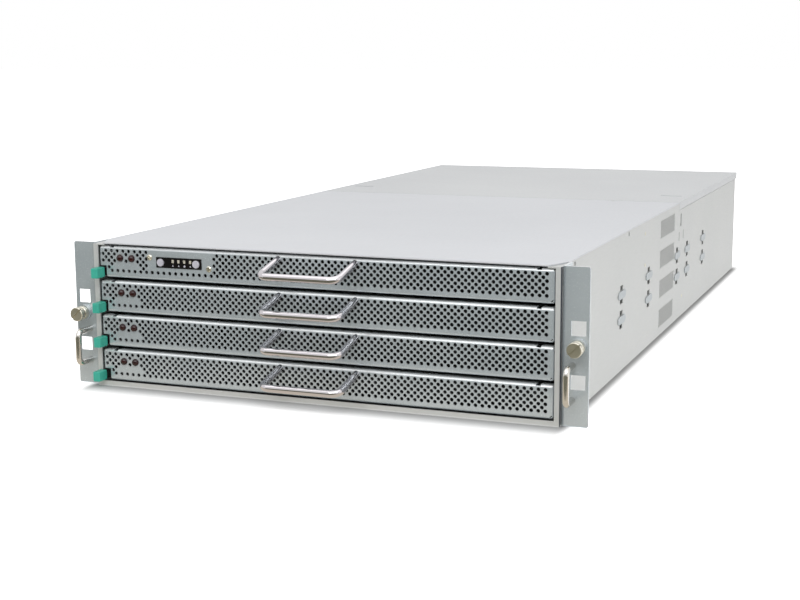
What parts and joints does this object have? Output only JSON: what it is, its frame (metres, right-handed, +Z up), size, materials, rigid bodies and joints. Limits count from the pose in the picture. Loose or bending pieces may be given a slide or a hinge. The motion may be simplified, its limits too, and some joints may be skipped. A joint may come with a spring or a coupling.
{
  "type": "storage server",
  "caption": "Low rack-mount storage server with perforated pull-out drive drawers, bow handles, slide bolts, rack ears with thumbscrews, sliding rear cover and plug-in power supplies.",
  "frame": {"origin": "on the underside, midway across, in the plane of the rack ears' back faces", "axes": "+X to the right seen from the front, +Y to the back, +Z up"},
  "size_m": [0.4826, 0.9787, 0.1324],
  "materials": {
    "zinc_sheet": "zinc-plated, satin",
    "front_sheet": "grey satin paint",
    "black_sheet": "black, matt",
    "chrome_bar": "polished",
    "nickel_screw": "nickel-plated",
    "slide_steel": "bright",
    "circuit_board": "solder mask",
    "drive_case": "cast and machined",
    "heatsink": "extruded",
    "fan_plastic": "moulded",
    "bracket_steel": "nickel-plated",
    "psu_case": "satin",
    "bolt_green": "moulded",
    "fault_lens": "clear red, unlit",
    "panel_black": "gloss",
    "button_grey": "satin",
    "status_lens": "diffuse"
  },
  "bodies": {
    "chassis": {"chassis_tub": "zinc_sheet", "side_vent_screens": "zinc_sheet", "front_top_panel": "zinc_sheet", "rear_panel": "zinc_sheet", "rack_ears": "front_sheet", "ear_handles": "chrome_bar", "outer_slides": "black_sheet", "midplane": "circuit_board", "fan_wall": "zinc_sheet", "fan_frames": "fan_plastic", "motherboard": "circuit_board", "cpu_heatsinks": "heatsink", "memory_modules": "circuit_board", "expansion_cards": "bracket_steel", "io_connectors": "bracket_steel", "psu_cage": "zinc_sheet"},
    "rear_cover": {"rear_top_cover": "zinc_sheet"},
    "left_screw": {"left_thumbscrew": "nickel_screw"},
    "right_screw": {"right_thumbscrew": "nickel_screw"},
    "psu_upper": {"psu_2": "psu_case"},
    "psu_lower": {"psu_1": "psu_case"},
    "power_key": {"power_button": "button_grey"},
    "reset_key": {"reset_button": "button_grey"},
    "rotor_1": {"fan_rotor_1": "fan_plastic"},
    "rotor_2": {"fan_rotor_2": "fan_plastic"},
    "rotor_3": {"fan_rotor_3": "fan_plastic"},
    "drawer_1": {"drawer_1_front": "front_sheet", "drawer_1_tray": "black_sheet", "drawer_1_handle": "chrome_bar", "drawer_1_leds": "fault_lens", "drawer_1_drives": "drive_case", "drawer_1_backplanes": "circuit_board", "control_panel": "panel_black", "panel_leds": "status_lens"},
    "slides_1": {"drawer_1_slides": "slide_steel"},
    "bolt_1": {"drawer_1_bolt": "bolt_green"},
    "drawer_2": {"drawer_2_front": "front_sheet", "drawer_2_tray": "black_sheet", "drawer_2_handle": "chrome_bar", "drawer_2_leds": "fault_lens", "drawer_2_drives": "drive_case", "drawer_2_backplanes": "circuit_board"},
    "slides_2": {"drawer_2_slides": "slide_steel"},
    "bolt_2": {"drawer_2_bolt": "bolt_green"},
    "drawer_3": {"drawer_3_front": "front_sheet", "drawer_3_tray": "black_sheet", "drawer_3_handle": "chrome_bar", "drawer_3_leds": "fault_lens", "drawer_3_drives": "drive_case", "drawer_3_backplanes": "circuit_board"},
    "slides_3": {"drawer_3_slides": "slide_steel"},
    "bolt_3": {"drawer_3_bolt": "bolt_green"},
    "drawer_4": {"drawer_4_front": "front_sheet", "drawer_4_tray": "black_sheet", "drawer_4_handle": "chrome_bar", "drawer_4_leds": "fault_lens", "drawer_4_drives": "drive_case", "drawer_4_backplanes": "circuit_board"},
    "slides_4": {"drawer_4_slides": "slide_steel"},
    "bolt_4": {"drawer_4_bolt": "bolt_green"}
  },
  "joints": [
    {"name": "drawer_1_slide", "type": "slide", "parent": "chassis", "child": "drawer_1", "axis": [0, -1, 0], "range_m": [0, 0.44]},
    {"name": "slides_1_follow", "type": "slide", "parent": "chassis", "child": "slides_1", "axis": [0, -1, 0], "range_m": [0, 0.22]},
    {"name": "bolt_1_slide", "type": "slide", "parent": "drawer_1", "child": "bolt_1", "axis": [-1, 0, 0], "range_m": [0, 0.0045]},
    {"name": "drawer_2_slide", "type": "slide", "parent": "chassis", "child": "drawer_2", "axis": [0, -1, 0], "range_m": [0, 0.44]},
    {"name": "slides_2_follow", "type": "slide", "parent": "chassis", "child": "slides_2", "axis": [0, -1, 0], "range_m": [0, 0.22]},
    {"name": "bolt_2_slide", "type": "slide", "parent": "drawer_2", "child": "bolt_2", "axis": [-1, 0, 0], "range_m": [0, 0.0045]},
    {"name": "drawer_3_slide", "type": "slide", "parent": "chassis", "child": "drawer_3", "axis": [0, -1, 0], "range_m": [0, 0.44]},
    {"name": "slides_3_follow", "type": "slide", "parent": "chassis", "child": "slides_3", "axis": [0, -1, 0], "range_m": [0, 0.22]},
    {"name": "bolt_3_slide", "type": "slide", "parent": "drawer_3", "child": "bolt_3", "axis": [-1, 0, 0], "range_m": [0, 0.0045]},
    {"name": "drawer_4_slide", "type": "slide", "parent": "chassis", "child": "drawer_4", "axis": [0, -1, 0], "range_m": [0, 0.44]},
    {"name": "slides_4_follow", "type": "slide", "parent": "chassis", "child": "slides_4", "axis": [0, -1, 0], "range_m": [0, 0.22]},
    {"name": "bolt_4_slide", "type": "slide", "parent": "drawer_4", "child": "bolt_4", "axis": [-1, 0, 0], "range_m": [-0.0022, 0.0023]},
    {"name": "power_press", "type": "slide", "parent": "drawer_1", "child": "power_key", "axis": [0, 1, 0], "range_m": [0, 0.0012], "stiffness_N_per_m": 900},
    {"name": "reset_press", "type": "slide", "parent": "drawer_1", "child": "reset_key", "axis": [0, 1, 0], "range_m": [0, 0.0012], "stiffness_N_per_m": 900},
    {"name": "left_screw_turn", "type": "hinge", "parent": "chassis", "child": "left_screw", "pos_m": [-0.23255, -0.01, 0.0667], "axis": [0, 1, 0], "continuous": true},
    {"name": "right_screw_turn", "type": "hinge", "parent": "chassis", "child": "right_screw", "pos_m": [0.23255, -0.01, 0.0667], "axis": [0, 1, 0], "continuous": true},
    {"name": "rotor_1_spin", "type": "hinge", "parent": "chassis", "child": "rotor_1", "pos_m": [-0.13, 0.515, 0.06565], "axis": [0, 1, 0], "continuous": true},
    {"name": "rotor_2_spin", "type": "hinge", "parent": "chassis", "child": "rotor_2", "pos_m": [0, 0.515, 0.06565], "axis": [0, 1, 0], "continuous": true},
    {"name": "rotor_3_spin", "type": "hinge", "parent": "chassis", "child": "rotor_3", "pos_m": [0.13, 0.515, 0.06565], "axis": [0, 1, 0], "continuous": true},
    {"name": "rear_cover_slide", "type": "slide", "parent": "chassis", "child": "rear_cover", "axis": [0, 1, 0], "range_m": [0, 0.015]},
    {"name": "psu_lower_slide", "type": "slide", "parent": "chassis", "child": "psu_lower", "axis": [0, 1, 0], "range_m": [0, 0.25]},
    {"name": "psu_upper_slide", "type": "slide", "parent": "chassis", "child": "psu_upper", "axis": [0, 1, 0], "range_m": [0, 0.25]}
  ],
  "couplings": [
    {"joint": "slides_1_follow", "follows": "drawer_1_slide", "ratio": 0.5},
    {"joint": "slides_2_follow", "follows": "drawer_2_slide", "ratio": 0.5},
    {"joint": "slides_3_follow", "follows": "drawer_3_slide", "ratio": 0.5},
    {"joint": "slides_4_follow", "follows": "drawer_4_slide", "ratio": 0.5}
  ]
}
